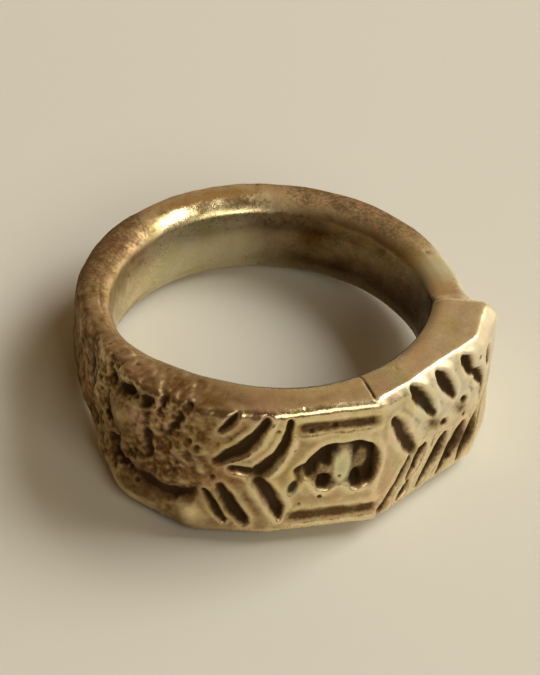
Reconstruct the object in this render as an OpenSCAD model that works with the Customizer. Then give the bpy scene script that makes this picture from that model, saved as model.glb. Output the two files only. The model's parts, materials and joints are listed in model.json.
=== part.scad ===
// Cast bronze finger ring: a tall carved front with a wing-like corner, tapering to a narrow rounded back.
// Millimetres. The ring is drawn round its own upright finger axis with the front towards -Y, then laid
// on the surface as it rests: leaning back until its low rear rim touches down.

/* [Finger hole] */
// Diameter of the finger hole
hole_d = 17.3; // [15:0.1:21]

/* [Band] */
// Height of the band at the carved front
front_h = 8.7; // [7:0.1:10]
// Height of the band at the back
back_h = 5.1; // [3.5:0.1:6.5]
// Height of the rough lumps on the left shoulder
lump_h = 0.24; // [0:0.02:0.4]
// Height of the hammered unevenness round the shank
hammer_h = 0.07; // [0:0.01:0.15]

/* [Carving] */
// Depth of the grooves and strips in the front
groove_depth = 0.38; // [0.1:0.02:0.6]
// Depth of the hollow round the bud
eye_depth = 0.5; // [0.1:0.02:0.8]
// Width of the grooves of the chevrons
groove_w = 0.46; // [0.3:0.02:0.7]
// Sideways run of a chevron's arm for each millimetre of height
arm_slope = 0.76; // [0.5:0.02:1]

// Height of the carving's middle above the middle of the band
carving_rise = 0.2; // [-0.4:0.05:0.4]

/* [Hidden] */

BRONZE = [0.62, 0.50, 0.32];
hole_r = hole_d / 2;

// Stations round the band, from the right crease of the front by the wing, the back and the left shoulder
// to the left crease. Columns: angle from the front, wall thickness, fullness of height from back (0) to
// front (1), squareness of the section (2 is round), steps to the next station
ANGLE = 0;
WALL = 1;
FULL = 2;
SQUARE = 3;
STEPS = 4;
STATIONS = [
    [ 15.9, 3.10, 1.00, 7.0, 4],
    [ 55.7, 3.45, 1.00, 7.5, 2],
    [ 70.2, 3.65, 1.00, 8.0, 3],
    [ 78.0, 2.62, 0.34, 4.0, 2],
    [ 86.0, 2.42, 0.10, 3.2, 3],
    [100.0, 2.48, 0.04, 2.8, 4],
    [120.0, 2.66, 0.02, 2.7, 6],
    [150.0, 2.80, 0.00, 2.7, 6],
    [180.0, 2.82, 0.00, 2.7, 6],
    [210.0, 2.76, 0.00, 2.7, 6],
    [240.0, 2.54, 0.06, 2.8, 4],
    [260.0, 2.12, 0.18, 3.0, 5],
    [277.0, 1.92, 0.40, 3.4, 5],
    [292.0, 2.56, 0.74, 4.2, 6],
    [308.7, 3.34, 0.96, 5.0, 7],
    [326.1, 3.68, 1.00, 6.0, 8],
    [346.7, 2.96, 1.00, 6.5, 3]
];
// The walls that start at these stations are flat facets: right, wing's end, two on the left, front
FLAT_FROM = [0, 1, 14, 15, 16];

function wrapped(i) = i % len(STATIONS);
function station(i, column) = STATIONS[wrapped(i)][column];
function station_angle(i) = station(i, ANGLE) + (i >= len(STATIONS) ? 360 : 0);
function plan_at(angle, reach) = [reach * sin(angle), -reach * cos(angle)];
function corner(i) = plan_at(station(i, ANGLE), hole_r + station(i, WALL));
function mix(a, b, t) = a + (b - a) * t;
function is_flat(i) = len(search(wrapped(i), FLAT_FROM)) > 0;

// One station of the swept band: plan point, half height and squareness
function eased(t) = t * t * (3 - 2 * t);
function band_station(i, t) =
    let (
        angle = mix(station_angle(i), station_angle(i + 1), t),
        round_point = plan_at(angle, hole_r + mix(station(i, WALL), station(i + 1, WALL), eased(t))),
        flat_point = mix(corner(i), corner(i + 1), t),
        full = mix(station(i, FULL), station(i + 1, FULL), t)
    )
    [
        is_flat(i) ? flat_point : round_point,
        mix(back_h, front_h, full) / 2,
        mix(station(i, SQUARE), station(i + 1, SQUARE), t)
    ];
BAND = [
    for (i = [0 : len(STATIONS) - 1])
        for (k = [0 : station(i, STEPS) - 1])
            band_station(i, k / station(i, STEPS))
];

// Directions to the points of one section, round the edge of a square: outer wall, top, bore side, bottom.
// They crowd towards the corners, where the section turns
wall_steps = 5;
top_steps = 4;
bore_steps = 1;
SECTION = concat(
    [for (k = [-wall_steps : wall_steps]) [1, sin(90 * k / wall_steps)]],
    [for (k = [1 : 2 * top_steps - 1]) [cos(90 * k / top_steps), 1]],
    [for (k = [bore_steps : -1 : -bore_steps]) [-1, sin(90 * k / bore_steps)]],
    [for (k = [2 * top_steps - 1 : -1 : 1]) [cos(90 * k / top_steps), -1]]
);

// Lumps and hollows of the rough left shoulder, scattered over its wall between two angles
lump_count = 34;
lump_from = 284;
lump_to = 340;
lump_fade = 12;
lump_sharpness = 2.2;
shoulder_reach = 11.3;
lump_angles = rands(lump_from, lump_to, lump_count, 11);
lump_levels = rands(-0.95, 0.95, lump_count, 23);
lump_spreads = rands(0.7, 1.5, lump_count, 5);
lump_strengths = rands(-1, 1, lump_count, 42);
function lump(i, angle, z, half) =
    let (
        across = (angle - lump_angles[i]) * PI / 180 * shoulder_reach,
        up = z - lump_levels[i] * half
    )
    lump_strengths[i] * exp(-lump_sharpness * (across * across + up * up) / pow(lump_spreads[i], 2));
function total(values) = values * [for (value = values) 1];
function lumps(angle, z, half) =
    angle < lump_from - lump_fade || angle > lump_to + lump_fade ? 0
    : total([for (i = [0 : lump_count - 1]) lump(i, angle, z, half)]);

// Slow unevenness of the hammered shank, between two angles: long waves and shorter ones across them
hammer_from = 84;
hammer_to = 282;
hammer_fade = 20;
function clamped(x) = max(0, min(1, x));
function long_wave(angle, z) = 0.6 * sin(9 * angle + 70 * z);
function short_wave(angle, z) = 0.4 * sin(17 * angle - 110 * z + 40);
function hammered(angle, z) =
    clamped((angle - hammer_from) / hammer_fade) * clamped((hammer_to - angle) / hammer_fade)
        * (long_wave(angle, z) + short_wave(angle, z));

// One point of a section: a rounded square between the outer reach and a little inside the finger hole
bore_sink = 0.35;
function section_point(band, direction) =
    let (
        reach = norm(band[0]),
        angle = (atan2(band[0].x, -band[0].y) + 360) % 360,
        bore = hole_r - bore_sink,
        middle = (reach + bore) / 2,
        half_wall = (reach - bore) / 2,
        n = band[2],
        size = pow(pow(abs(direction.x), n) + pow(abs(direction.y), n), -1 / n),
        outer = max(0, direction.x * size),
        z = band[1] * direction.y * size,
        rise = outer * (lump_h * lumps(angle, z, band[1]) + hammer_h * hammered(angle, z)),
        r = middle + half_wall * direction.x * size + rise
    )
    [band[0].x / reach * r, band[0].y / reach * r, z];

POINTS = [for (band = BAND) for (direction = SECTION) section_point(band, direction)];

// The uncarved, undrilled ring as one closed surface
module blank() {
    rows = len(BAND);
    columns = len(SECTION);
    function at(i, j) = (i % rows) * columns + j % columns;
    faces = [
        for (i = [0 : rows - 1])
            for (j = [0 : columns - 1])
                each [
                    [at(i, j), at(i, j + 1), at(i + 1, j + 1)],
                    [at(i, j), at(i + 1, j + 1), at(i + 1, j)]
                ]
    ];
    polyhedron(POINTS, faces, convexity = 6);
}

// The ring rests on three feet: the lower rims of the wing, of the left shoulder and of the back. Each
// round finds the three lowest points for the last guess of straight down, and the plane through them
function lowest(points, down) =
    let (depths = [for (p = points) p * down])
    points[search(max(depths), depths)[0]];
function settled(down, rounds) =
    rounds == 0 ? down
    : let (
        wing_foot = lowest([for (p = POINTS) if (p.y < 0 && p.x > hole_r / 2) p], down),
        left_foot = lowest([for (p = POINTS) if (p.y < 0 && p.x < -hole_r / 2) p], down),
        back_foot = lowest([for (p = POINTS) if (p.y > hole_r / 2) p], down),
        normal = cross(left_foot - wing_foot, back_foot - wing_foot),
        unit = normal / norm(normal) * (normal.z < 0 ? 1 : -1)
    )
    settled(unit, rounds - 1);
settling_rounds = 4;
DOWN = settled([0, 0, -1], settling_rounds);
lean = acos(-DOWN.z);
lean_axis = cross(DOWN, [0, 0, -1]) / sin(lean);
function leaned(p) =
    p * cos(lean) + cross(lean_axis, p) * sin(lean) + lean_axis * (lean_axis * p) * (1 - cos(lean));
RESTING = [for (p = POINTS) leaned(p)];
function middle_of(values) = (min(values) + max(values)) / 2;
seat = -[
    middle_of([for (p = RESTING) p.x]),
    middle_of([for (p = RESTING) p.y]),
    min([for (p = RESTING) p.z])
];

// Distance along the outline from the middle of the front to each flat facet's two ends
function facet_length(i) = norm(corner(i + 1) - corner(i));
front = len(STATIONS) - 1;
front_right = corner(0).x;
front_left = corner(front).x;
function facet_start(i) =
    i == front ? front_left
    : i == 0 ? front_right
    : i == 1 ? front_right + facet_length(0)
    : i == front - 1 ? front_left - facet_length(front - 1)
    : front_left - facet_length(front - 1) - facet_length(front - 2);

// Lays a flat drawing, whose X runs along the outline and Y up the wall, on one facet and cuts that deep
clear_of_wall = 0.6;
seam_lap = 0.06;
module cut_in_facet(i, depth) {
    along = corner(i + 1) - corner(i);
    translate([corner(i).x, corner(i).y, 0])
        rotate([90, 0, atan2(along.y, along.x)])
            translate([-facet_start(i), carving_rise, -depth])
                linear_extrude(depth + clear_of_wall)
                    intersection() {
                        children();
                        translate([facet_start(i) - seam_lap, -front_h])
                            square([facet_length(i) + 2 * seam_lap, 2 * front_h]);
                    }
}

// A stroke of the carving through a few points
module stroke(points, width) {
    for (i = [0 : len(points) - 2]) {
        along = points[i + 1] - points[i];
        side = [-along.y, along.x] / norm(along) * width / 2;
        polygon([points[i] + side, points[i] - side, points[i + 1] - side, points[i + 1] + side]);
    }
    for (i = [1 : 1 : len(points) - 2])
        translate(points[i])
            circle(d = width, $fn = 8);
}

module oval(centre, half_w, half_h, sides) {
    turns = [for (k = [0 : sides - 1]) 360 * k / sides];
    polygon([for (turn = turns) centre + [half_w * cos(turn), half_h * sin(turn)]]);
}

// Grooves of the chevrons, whose points look away from the hexagon. Columns: where the line of the upper
// arm and the line of the lower arm cross the middle, as distances along the outline, then the heights of
// the upper arm's two ends and the lower arm's two ends, and the width as a share of groove_w
UPPER_AT = 0;
LOWER_AT = 1;
TOP = 2;
UPPER_END = 3;
LOWER_END = 4;
BOTTOM = 5;
SHARE = 6;
CHEVRONS = [
    [  8.1,   8.5, 3.10, -0.45, -1.45, -4.25, 1.20],
    [ 10.1,  10.8, 3.05,  0.50, -1.80, -4.25, 1.25],
    [ 12.1,  12.9, 3.10,  1.45, -2.10, -4.25, 1.20],
    [ 12.9,  14.3, 1.70,  0.20, -2.00, -3.40, 0.90],
    [ -5.8,  -6.5, 3.60,  0.55, -1.10, -3.50, 1.00],
    [ -7.7,  -7.6, 3.90,  2.30, -1.50, -3.70, 0.65],
    [-10.5, -11.3, 4.10,  2.00, -2.40, -3.90, 0.90]
];
function arm_point(at, height) = [at - sign(at) * arm_slope * abs(height), height];

module chevrons() {
    for (row = CHEVRONS) {
        width = groove_w * row[SHARE];
        stroke([arm_point(row[UPPER_AT], row[TOP]), arm_point(row[UPPER_AT], row[UPPER_END])], width);
        stroke([arm_point(row[LOWER_AT], row[LOWER_END]), arm_point(row[LOWER_AT], row[BOTTOM])], width * 0.8);
    }
}

// Grooves that set the raised hexagon off from the chevrons, the rim and the foot
module hexagon_surround() {
    stroke([[3.2, 3.15], [4.25, 2.35], [5.95, -1.3], [3.95, -3.95]], groove_w * 0.85);
    stroke(
        [[-1.9, 3.2], [-2.2, 1.3], [-3.55, -0.35], [-3.1, -1.4], [-2.3, -2.2], [-2.15, -3.2]],
        groove_w * 1.15
    );
    stroke([[-1.45, 2.85], [3.1, 2.85]], 0.8);
    stroke([[-1.6, -3.3], [3.4, -3.3]], 0.35);
}

// The hollow inside the hexagon, with the bud and its small leaves left standing
eye_at = [1.35, -0.1];
module eye() {
    difference() {
        oval(eye_at, 2.1, 1.72, 20);
        oval(eye_at + [0, 0.1], 0.55, 1.5, 12);
        oval(eye_at + [-1.15, 0], 0.3, 0.5, 8);
        oval(eye_at + [1.0, 0.35], 0.32, 0.62, 8);
        stroke([eye_at + [-0.75, -1.5], eye_at + [0.5, -1.5]], 0.4);
    }
    stroke([[-1.2, 0.1], [-0.65, 0.05]], 0.35);
    stroke([[-1.35, -0.75], [-0.75, -1.25]], 0.3);
}

module carving() {
    for (i = FLAT_FROM) {
        cut_in_facet(i, groove_depth)
            union() {
                chevrons();
                hexagon_surround();
            }
    }
    for (i = [0, front])
        cut_in_facet(i, eye_depth)
            eye();
}

module finger_hole() {
    cylinder(h = 3 * front_h, r = hole_r, center = true, $fn = 144);
}

module ring() {
    color(BRONZE)
        translate(seat)
            rotate(a = lean, v = lean_axis)
                difference() {
                    blank();
                    finger_hole();
                    carving();
                }
}

ring();
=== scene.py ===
# %% [markdown]
# A cast bronze finger ring, dressed in Blender round its imported CAD part.
# The CAD solid already has the right size, the right place and the main forms. What it lacks is the skin:
# worn edges, soft casting hollows, the finer parts of the bud in the hexagon, cuts that swell and run out,
# dark patina. So this script builds one dense mesh in the same place, and that mesh stands for the CAD node.

# %% Load the frame and the CAD parts
import json
import math

import bpy
import numpy as np
from mathutils import Matrix, Vector


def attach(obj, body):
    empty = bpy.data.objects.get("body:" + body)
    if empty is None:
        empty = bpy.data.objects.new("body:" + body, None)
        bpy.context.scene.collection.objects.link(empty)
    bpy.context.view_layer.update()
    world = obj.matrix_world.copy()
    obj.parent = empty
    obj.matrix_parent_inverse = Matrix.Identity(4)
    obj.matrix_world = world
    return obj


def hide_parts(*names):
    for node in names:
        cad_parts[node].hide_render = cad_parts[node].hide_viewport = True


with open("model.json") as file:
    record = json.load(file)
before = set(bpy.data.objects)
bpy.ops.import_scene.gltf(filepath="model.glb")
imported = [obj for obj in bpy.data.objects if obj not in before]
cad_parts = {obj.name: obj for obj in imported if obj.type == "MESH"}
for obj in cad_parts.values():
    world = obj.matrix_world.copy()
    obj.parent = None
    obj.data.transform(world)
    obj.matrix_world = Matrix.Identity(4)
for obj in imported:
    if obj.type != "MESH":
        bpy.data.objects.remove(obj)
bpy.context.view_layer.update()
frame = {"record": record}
MM = 0.001

# %% [markdown]
# The ring is drawn upright round its own finger axis, with the carved front towards -Y, because that is
# how a ring maker thinks of it: so far round, so far out, so far up. Only at the end is it laid down. The
# record says where the finger hole's middle is and which way it points, and that is all it takes.

# %% Find how the ring lies from the finger hole in the record
finger_hole = next(mount for mount in frame["record"]["mounts"] if mount["name"] == "finger_hole")
hole_middle = Vector(finger_hole["pos_m"])
hole_axis = Vector(finger_hole["axis"]).normalized()
HOLE_RADIUS = finger_hole["dims"]["r_mm"]
lean = Vector((0, 0, 1)).rotation_difference(hole_axis)
laid_down = Matrix.Translation(hole_middle) @ lean.to_matrix().to_4x4()
print("the finger axis leans", round(math.degrees(hole_axis.angle(Vector((0, 0, 1)))), 2), "degrees")

# %% [markdown]
# Much on the ring fades in or out along the band: here the wall starts, there the roughness ends. Three
# small helpers say so in one word each. They work on one number or on every point of the ring at once.

# %% Helpers that fade in and out
def rises(values, start, length):
    """0 up to the start, and then a straight rise over the length, up to 1."""
    return np.clip((values - start) / length, 0, 1)


def falls(values, end, length):
    """1 at first, and then a straight fall over the length, down to 0 at the end."""
    return np.clip((end - values) / length, 0, 1)


def from_table(table, places):
    """A table's value at some places. Each of its rows is a place and the value there."""
    return np.interp(places, *zip(*table))


print("half way up a rise:", float(rises(1.5, 1, 1)))

# %% [markdown]
# The band is swept from a table of stations. Each gives the angle from the front, the thickness of the
# wall, how full the height is between back and front, and how square the section is: 2 is an ellipse, 7 is
# nearly a rectangle. Between some stations the wall is a flat facet, and elsewhere it is rounded.

# %% Stations round the band
FRONT_HEIGHT = 8.7
BACK_HEIGHT = 5.1
STEPS_PER_DEGREE = 12
ANGLE, WALL, FULL, SQUARE = range(4)
STATIONS = np.array([
    (15.9, 3.10, 1.00, 7.0),
    (55.7, 3.45, 1.00, 7.5),
    (70.2, 3.65, 1.00, 8.0),
    (78.0, 2.62, 0.34, 4.0),
    (86.0, 2.42, 0.10, 3.2),
    (100.0, 2.48, 0.04, 2.8),
    (120.0, 2.66, 0.02, 2.7),
    (150.0, 2.80, 0.00, 2.7),
    (180.0, 2.82, 0.00, 2.7),
    (210.0, 2.76, 0.00, 2.7),
    (240.0, 2.54, 0.06, 2.8),
    (260.0, 2.12, 0.18, 3.0),
    (277.0, 1.92, 0.40, 3.4),
    (292.0, 2.56, 0.74, 4.2),
    (308.7, 3.34, 0.96, 5.0),
    (326.1, 3.68, 1.00, 6.0),
    (346.7, 2.96, 1.00, 6.5),
])
# Stations that a flat facet starts from
FLAT_FROM = {0, 1, 14, 15, 16}


def plan_point(angle, reach):
    """A point of the plan at an angle in degrees from the front, so far from the finger axis."""
    turn = np.radians(angle)
    return np.stack([reach * np.sin(turn), -reach * np.cos(turn)], axis=-1)


def band_span(index):
    """Rows of x, y, fullness and squareness from one station to just before the next."""
    start = STATIONS[index]
    end = STATIONS[(index + 1) % len(STATIONS)].copy()
    if end[ANGLE] < start[ANGLE]:
        end[ANGLE] += 360
    steps = int((end[ANGLE] - start[ANGLE]) * STEPS_PER_DEGREE)
    share = np.arange(steps)[:, None] / steps
    if index in FLAT_FROM:
        corners = [plan_point(s[ANGLE], HOLE_RADIUS + s[WALL]) for s in (start, end)]
        plan = corners[0] + (corners[1] - corners[0]) * share
    else:
        eased = share * share * (3 - 2 * share)
        angle = start[ANGLE] + (end[ANGLE] - start[ANGLE]) * share
        wall = start[WALL] + (end[WALL] - start[WALL]) * eased
        plan = plan_point(angle[:, 0], HOLE_RADIUS + wall[:, 0])
    rest = start[FULL:] + (end[FULL:] - start[FULL:]) * share
    return np.hstack([plan, rest])


raw_band = np.vstack([band_span(index) for index in range(len(STATIONS))])
print("plan points before smoothing:", len(raw_band))

# %% [markdown]
# Distance along the outline, from the middle of the front, is the ruler for everything on the wall. The
# outline is measured once, walked again in even steps, and its corners are eased a little there, since
# neither wax nor bronze holds a knife edge. The rough left side is eased more than the crisp right side.

# %% Walk the outline in even steps and ease its corners
EVEN_STEP = 0.02
CRISP_EASE = 0.14
SOFT_EASE = 0.5


def walk_evenly(rows):
    """The closed outline in even steps, and the distance along it from the middle of the front."""
    closed = np.vstack([rows, rows[:1]])
    distance = np.concatenate([[0], np.cumsum(np.hypot(*np.diff(closed[:, :2], axis=0).T))])
    count = int(distance[-1] / EVEN_STEP)
    even = np.arange(count) * distance[-1] / count
    table = np.stack([np.interp(even, distance, column) for column in closed.T], axis=-1)
    along = even + rows[0, 0]
    along[along > distance[-1] / 2] -= distance[-1]
    return table, along, distance[-1]


def eased_table(table, spread):
    """The table's columns averaged along the outline with a bell of that spread in millimetres."""
    waves = np.fft.rfftfreq(len(table), EVEN_STEP)
    bell = np.exp(-2 * (np.pi * waves * spread) ** 2)
    return np.fft.irfft(np.fft.rfft(table, axis=0) * bell[:, None], len(table), axis=0)


even_band, along_band, outline_length = walk_evenly(raw_band)
crisp = (rises(along_band, -7.5, 3) * falls(along_band, 16.0, 2))[:, None]
band = eased_table(even_band, CRISP_EASE) * crisp + eased_table(even_band, SOFT_EASE) * (1 - crisp)
print("outline length in mm:", round(outline_length, 2))

# %% [markdown]
# The mesh is a grid: columns round the band, rows round each section. Detail is wanted where the carving
# is, so the columns crowd there and thin out on the plain shank. The rows crowd on the outer wall and at
# the rims of the finger hole. That spends the triangles where an eye will look for them.

# %% Choose the columns of the grid
CARVED_STEP = 0.078
SHOULDER_STEP = 0.10
SHANK_STEP = 0.18


def crowded(positions, step, closed=False):
    """Positions picked so that the gap between two of them follows the wanted step."""
    density = np.concatenate([[0], np.cumsum(np.diff(positions) / ((step[1:] + step[:-1]) / 2))])
    count = int(round(density[-1]))
    picks = np.arange(count if closed else count + 1) * density[-1] / count
    return np.interp(picks, density, positions)


walked = np.arange(len(band) + 1) * outline_length / len(band)
step_at = np.interp(
    np.append(along_band, along_band[0]),
    [-17, -15, -8, -6.8, 14.8, 16.5],
    [SHANK_STEP, SHOULDER_STEP, SHOULDER_STEP, CARVED_STEP, CARVED_STEP, SHANK_STEP],
)
columns_at = crowded(walked, step_at, closed=True)
closed_band = np.vstack([band, band[:1]])
columns = np.stack([np.interp(columns_at, walked, column) for column in closed_band.T], axis=-1)
along = columns_at + raw_band[0, 0]
along[along > outline_length / 2] -= outline_length
print("columns round the band:", len(columns))

# %% [markdown]
# A section is a rounded square between the outer reach and a little inside the finger hole, and the hole
# then cuts a true cylinder out of it. Both limits are measured from the section's middle along the same
# ray, and the smaller one wins. A soft minimum rounds the rim where they meet, as a finger has worn it.
# Two bevels take off the outer corners in the same way. The upper one is widest over the wing, and the one
# at the foot is the same all round.

# %% Shape of a section
BORE_SINK = 0.35
RIM_SOFTNESS = 1.5
CORNER_SOFTNESS = 0.03
# How much squarer the outer half is where it has a bevel, and how much rounder the inner half is
SQUARER = 8.0
ROUNDER = 0.6
# The foot's bevel: its height in millimetres, and how far it sets the foot in for each one of them
FOOT_BEVEL = 0.34
FOOT_TILT = 1.2
NEVER_ZERO = 0.01
# A section much like those of the front
TYPICAL_SECTION = {
    "wall": 3.1, "half_height": FRONT_HEIGHT / 2, "square": 7.0, "bevel": 0.45, "tilt": 1.2, "rim": 0.35,
}


def soft_minimum(a, b, blend):
    """The smaller of two numbers, rounded off where they are closer than the blend."""
    near = np.clip(1 - np.abs(a - b) / blend, 0, 1)
    return np.minimum(a, b) - near * near * blend / 4


def section(directions, wall, half_height, square, bevel, tilt, rim):
    """Distance from the finger axis and height of a section's points in the given directions."""
    half_wall = (wall + BORE_SINK) / 2
    middle = HOLE_RADIUS - BORE_SINK + half_wall
    outward, upward = directions[:, 0], directions[:, 1]
    power = np.where(outward > 0, square + SQUARER * rises(bevel, 0.05, 0.36), square - ROUNDER)
    size = (np.abs(outward) ** power + np.abs(upward) ** power) ** (-1 / power)
    inner = half_wall - BORE_SINK
    to_bore = inner / half_wall / np.maximum(-outward, NEVER_ZERO)
    to_rim = (inner + half_height - rim) / (half_wall * np.abs(outward) + half_height * np.abs(upward))
    rounding = RIM_SOFTNESS * rim / half_wall
    size = np.where(outward < 0, soft_minimum(size, to_rim, rounding), size)
    size = soft_minimum(size, to_bore, rounding)
    legs = np.where(upward > 0, bevel, FOOT_BEVEL)
    set_in = legs * np.where(upward > 0, tilt, FOOT_TILT)
    across_bevel = half_wall / set_in * outward + half_height / legs * np.abs(upward)
    to_bevel = (half_wall / set_in + half_height / legs - 1) / np.maximum(across_bevel, NEVER_ZERO)
    size = np.where(outward > 0, soft_minimum(size, to_bevel, CORNER_SOFTNESS), size)
    return middle + half_wall * outward * size, half_height * upward * size


far_out, _ = section(np.array([[1.0, 0.0]]), **TYPICAL_SECTION)
print("reach of a typical section in mm:", round(float(far_out[0]), 2))

# %% [markdown]
# The same number of rows serves every section, so one typical section of the front decides how they are
# spaced: close on the carved wall and at the rims, wide in the smooth finger hole.

# %% Choose the rows of the grid
EDGE_POINTS = 900


def square_edge(corners):
    """Many points along straight lines through some corners."""
    lines = [np.linspace(a, b, EDGE_POINTS, endpoint=False) for a, b in zip(corners, corners[1:])]
    return np.vstack(lines + [np.array(corners[-1:], float)])


every_direction = square_edge([(1, -1), (1, 1), (-1, 1), (-1, -1), (1, -1)])
reach, level = section(every_direction, **TYPICAL_SECTION)
travelled = np.concatenate([[0], np.cumsum(np.hypot(np.diff(reach), np.diff(level)))])
on_wall = rises(reach - HOLE_RADIUS, 2.3, 0.3)
in_bore = np.clip(1 - (reach - HOLE_RADIUS) / 0.2, 0, 1) * falls(np.abs(level), 3.9, 0.3)
at_rim = np.clip(1 - (reach - HOLE_RADIUS) / 0.5, 0, 1) * (1 - in_bore)
# Millimetres from one row to the next
row_step = 0.19 - 0.108 * on_wall - 0.09 * at_rim + 0.55 * in_bore
row_step = row_step + 0.05 * (level < 0) * (1 - on_wall)
rows_at = crowded(travelled, row_step, closed=True)
directions = np.stack([np.interp(rows_at, travelled, part) for part in every_direction.T], axis=-1)
print("rows round a section:", len(directions), "quads:", len(directions) * len(columns))

# %% [markdown]
# The left shoulder is the lively part of this casting: a smooth mound with dark hollows round it, a
# hollow sweep under it and knobs beside it. They are no pattern but single events, so they are placed one
# by one in the wall's own map: distance along the outline, height, half sizes, turn, and how far out.

# %% Listed lumps and hollows of the left shoulder
ACROSS, UP, HALF_WIDTH, HALF_HEIGHT, TURN, AMOUNT = range(6)
LUMPS = [
    (-12.1, 1.1, 1.6, 1.4, 0, 0.42),
    (-12.0, 2.9, 1.2, 0.5, 20, -0.70),
    (-13.7, 2.6, 0.5, 0.5, 0, -0.60),
    (-13.6, 0.1, 0.5, 0.6, 0, -0.50),
    (-12.9, -1.3, 0.8, 0.5, 35, -0.50),
    (-12.4, -2.2, 1.4, 0.6, 5, -0.60),
    (-10.0, -2.4, 1.6, 0.65, -4, -0.62),
    (-8.2, -2.3, 1.0, 0.5, 25, -0.50),
    (-7.1, -1.7, 0.8, 0.5, 40, -0.30),
    (-10.0, 0.6, 0.4, 1.2, 10, -0.34),
    (-10.9, -0.8, 1.0, 0.4, 35, -0.24),
    (-9.2, 0.2, 0.7, 1.1, -20, 0.20),
    (-8.0, 0.9, 0.5, 1.2, -25, 0.22),
    (-9.3, 3.4, 0.3, 0.8, -18, -0.34),
    (-10.1, 3.4, 0.4, 0.6, 0, 0.20),
    (-8.3, 2.8, 0.3, 1.1, -22, -0.34),
    (-7.7, 3.9, 0.4, 0.5, 0, -0.30),
    (-6.8, 1.5, 0.7, 0.7, 0, 0.30),
    (-6.85, 1.6, 0.28, 0.28, 0, -0.30),
    (-6.6, 0.1, 0.4, 0.6, 30, 0.20),
    (-8.7, -1.3, 1.0, 0.6, 0, 0.24),
    (-11.2, -3.6, 2.2, 0.5, -4, 0.30),
    (-7.2, -3.2, 1.0, 0.9, 0, 0.16),
    (-14.3, 3.2, 0.7, 0.9, -30, -0.22),
    (-15.0, 0.6, 0.8, 1.4, -10, 0.20),
    (-15.6, -1.6, 0.7, 0.8, 20, -0.24),
    (-16.7, 1.2, 0.8, 0.7, 0, -0.18),
    (-17.4, -0.6, 0.9, 1.0, 0, 0.14),
]
# Ovals where the shoulder is smooth all the same: the mound, the pale patch and the lip at the foot
CALM = [
    (-12.1, 1.1, 1.5, 1.3, 0),
    (-6.8, -3.1, 1.5, 1.0, 0),
    (-11.5, -3.8, 3.2, 0.6, 0),
    (-9.6, -2.5, 1.6, 0.7, 0),
]
# How quickly a lump fades away from its middle
LUMP_FADE = 1.6


def oval_reach(across, up, oval):
    """0 in an oval's middle and 1 at its edge. An oval is across, up, half width, half height and turn."""
    turn = math.radians(oval[TURN])
    side = across - oval[ACROSS]
    rise = up - oval[UP]
    along_it = side * math.cos(turn) + rise * math.sin(turn)
    over_it = rise * math.cos(turn) - side * math.sin(turn)
    return np.hypot(along_it / oval[HALF_WIDTH], over_it / oval[HALF_HEIGHT])


def lumps_at(across, up):
    """How far the listed lumps push the wall out, in millimetres."""
    return sum(oval[AMOUNT] * np.exp(-LUMP_FADE * oval_reach(across, up, oval) ** 2) for oval in LUMPS)


def calm_at(across, up):
    """1 in the middle of a smooth place and 0 well away from all of them."""
    return np.max([np.exp(-LUMP_FADE * oval_reach(across, up, oval) ** 4) for oval in CALM], axis=0)


print("hand placed lumps and hollows:", len(LUMPS))

# %% [markdown]
# The middle of the hexagon holds a sunk oval with a standing bud, two leaves and a few drilled pockets.
# Each is an oval of its own, listed as above but with a depth: positive digs, negative leaves metal up.
# Adding them in turn is how the wax was worked, first the hollow and then what is built up in it.

# %% Ovals of the bud
# The carving's middle line lies this far above the middle of the wall
CARVING_RISE = 0.2
BUD = [
    (1.35, -0.10, 2.15, 1.75, 0, 0.50),
    (1.25, -0.05, 0.68, 1.70, -4, -0.50),
    (2.36, 0.32, 0.36, 0.95, -8, -0.30),
    (0.22, -0.22, 0.34, 0.46, 20, -0.34),
    (1.20, -1.72, 1.05, 0.32, 0, -0.40),
    (-0.45, -1.00, 0.40, 0.66, -30, -0.32),
    (0.45, 1.15, 0.50, 0.36, 0, 0.26),
    (0.38, 0.48, 0.24, 0.42, 0, 0.22),
    (0.30, -0.98, 0.30, 0.30, 0, 0.34),
    (2.08, -1.28, 0.25, 0.56, 0, 0.36),
    (3.02, 0.55, 0.24, 0.62, 28, 0.16),
    (2.90, -0.70, 0.22, 0.80, -6, 0.22),
    (2.55, 1.20, 0.50, 0.22, -30, 0.18),
    (-0.95, 0.10, 0.42, 0.24, 20, 0.26),
    (-1.45, -1.20, 0.22, 0.42, -25, 0.20),
    (-1.15, -0.45, 0.18, 0.40, 25, 0.16),
]
# Pockets have edges this soft in millimetres, and what stands has edges this soft for its size
POCKET_SOFTNESS = 0.17
STANDING_SOFTNESS = 0.55
# The bud may stand this far over the wall round it
BUD_STANDS_OVER = 0.02


def bud_depth(across, up):
    """How deep the bud's ovals sink the wall, in millimetres."""
    depth = np.zeros_like(across)
    for oval in BUD:
        smaller = min(oval[HALF_WIDTH], oval[HALF_HEIGHT])
        softness = POCKET_SOFTNESS if oval[AMOUNT] > 0 else STANDING_SOFTNESS * smaller
        nearness = (oval_reach(across, up, oval) - 1) * smaller
        edge = np.clip(0.5 - nearness / (2 * softness), 0, 1)
        depth += oval[AMOUNT] * edge * edge * (3 - 2 * edge)
    return np.maximum(depth, -BUD_STANDS_OVER)


print("ovals of the bud:", len(BUD))

# %% [markdown]
# Now the grid itself. Every column gets its section, placed in the plan at the column's own reach, and the
# way straight out of the wall there, because lumps and carving go straight out of it or into it.

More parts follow.
